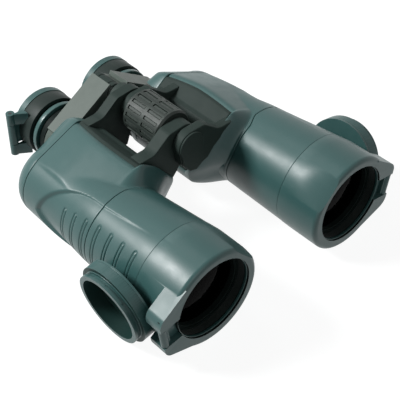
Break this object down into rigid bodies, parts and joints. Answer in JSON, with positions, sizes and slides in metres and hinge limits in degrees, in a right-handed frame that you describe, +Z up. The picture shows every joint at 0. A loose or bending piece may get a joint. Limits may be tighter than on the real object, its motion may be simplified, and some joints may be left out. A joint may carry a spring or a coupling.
{
  "type": "binoculars",
  "caption": "Porro-prism binoculars in rubber armour with hinged halves, centre focus wheel, moving eyepiece bridge and swing-open lens caps.",
  "frame": {"origin": "centre of the footprint on the surface the object lies on", "axes": "+Z up from that surface, the objectives face -Y, the user's right half is at -X"},
  "size_m": [0.2174, 0.2066, 0.0773],
  "materials": {
    "armour_teal": "satin moulded rubber",
    "cap_teal": "satin moulded rubber",
    "ring_teal": "satin",
    "frame_charcoal": "fine matt",
    "arm_charcoal": "painted, fine matt",
    "bridge_grey": "painted, satin",
    "tube_black": "black anodised",
    "wheel_rubber": "ribbed rubber",
    "eyecup_rubber": "matt rubber",
    "steel": "turned",
    "coated_glass": "coated, polished",
    "prism_glass": "polished"
  },
  "bodies": {
    "right_half": {"right_housing": "frame_charcoal", "right_armour": "armour_teal", "right_rear_cover": "armour_teal", "right_cover_screws": "steel", "right_barrel_sleeve": "armour_teal", "right_objective_shroud": "armour_teal", "right_objective_tube": "tube_black", "right_objective_ring": "tube_black", "right_objective_crown": "coated_glass", "right_objective_flint": "coated_glass", "right_prism_front": "prism_glass", "right_prism_rear": "prism_glass", "right_prism_shelf": "tube_black", "right_prism_clips": "steel", "right_front_arm": "arm_charcoal", "right_rear_arm": "arm_charcoal", "right_objective_cap_pin": "steel", "hinge_shaft": "steel", "hinge_nut": "arm_charcoal"},
    "left_half": {"left_housing": "frame_charcoal", "left_armour": "armour_teal", "left_rear_cover": "armour_teal", "left_cover_screws": "steel", "left_barrel_sleeve": "armour_teal", "left_objective_shroud": "armour_teal", "left_objective_tube": "tube_black", "left_objective_ring": "tube_black", "left_objective_crown": "coated_glass", "left_objective_flint": "coated_glass", "left_prism_front": "prism_glass", "left_prism_rear": "prism_glass", "left_prism_shelf": "tube_black", "left_prism_clips": "steel", "left_front_arm": "arm_charcoal", "left_rear_arm": "arm_charcoal", "left_objective_cap_pin": "steel", "hinge_cover": "arm_charcoal"},
    "focus_wheel": {"focus_wheel": "wheel_rubber"},
    "right_carriage": {"right_eyepiece_carrier": "bridge_grey", "focus_rod": "steel"},
    "left_carriage": {"left_eyepiece_carrier": "bridge_grey", "left_eyepiece_tube": "tube_black", "left_field_lens": "coated_glass", "left_eye_lens": "coated_glass", "left_eyepiece_ring": "ring_teal", "left_eyecup": "eyecup_rubber", "left_eyepiece_cap_pin": "steel"},
    "dioptre_ring": {"right_dioptre_ring": "ring_teal"},
    "right_ocular": {"right_eyepiece_tube": "tube_black", "right_field_lens": "coated_glass", "right_eye_lens": "coated_glass", "right_eyecup": "eyecup_rubber", "right_eyepiece_cap_pin": "steel"},
    "right_eye_cap": {"right_eyepiece_cap": "cap_teal"},
    "left_eye_cap": {"left_eyepiece_cap": "cap_teal"},
    "right_objective_cap": {"right_objective_cap": "cap_teal"},
    "left_objective_cap": {"left_objective_cap": "cap_teal"}
  },
  "joints": [
    {"name": "fold", "type": "hinge", "parent": "right_half", "child": "left_half", "pos_m": [0, 0, 0.0626], "axis": [0, -1, 0], "range_deg": [-4, 31]},
    {"name": "focus_turn", "type": "hinge", "parent": "right_half", "child": "focus_wheel", "pos_m": [0, 0.01395, 0.0626], "axis": [0, 1, 0], "range_deg": [-270, 270]},
    {"name": "right_bridge_slide", "type": "slide", "parent": "right_half", "child": "right_carriage", "axis": [0, 1, 0], "range_m": [-0.004, 0.004]},
    {"name": "left_bridge_slide", "type": "slide", "parent": "left_half", "child": "left_carriage", "axis": [0, 1, 0], "range_m": [-0.004, 0.004]},
    {"name": "dioptre_turn", "type": "hinge", "parent": "right_carriage", "child": "dioptre_ring", "pos_m": [-0.0282, 0.0824, 0.02956], "axis": [0, 1, 0], "range_deg": [-45, 45]},
    {"name": "right_ocular_slide", "type": "slide", "parent": "right_carriage", "child": "right_ocular", "axis": [0, 1, 0], "range_m": [-0.0009, 0.0009]},
    {"name": "right_eye_cap_swing", "type": "hinge", "parent": "right_ocular", "child": "right_eye_cap", "pos_m": [-0.0542, 0.10025, 0.02956], "axis": [0, 0, 1], "range_deg": [0, 180]},
    {"name": "left_eye_cap_swing", "type": "hinge", "parent": "left_carriage", "child": "left_eye_cap", "pos_m": [0.0282, 0.10025, 0.00356], "axis": [-1, 0, 0], "range_deg": [0, 180]},
    {"name": "right_objective_cap_swing", "type": "hinge", "parent": "right_half", "child": "right_objective_cap", "pos_m": [-0.09539, -0.10095, 0.0283], "axis": [0.1564, 0, -0.9877], "range_deg": [-269, 0]},
    {"name": "left_objective_cap_swing", "type": "hinge", "parent": "left_half", "child": "left_objective_cap", "pos_m": [0.09539, -0.10095, 0.0283], "axis": [0.1564, 0, 0.9877], "range_deg": [-269, 0]}
  ],
  "couplings": [
    {"joint": "focus_turn", "follows": "right_bridge_slide", "rad_per_m": 1178},
    {"joint": "left_bridge_slide", "follows": "right_bridge_slide", "ratio": 1},
    {"joint": "dioptre_turn", "follows": "right_ocular_slide", "rad_per_m": 872}
  ]
}
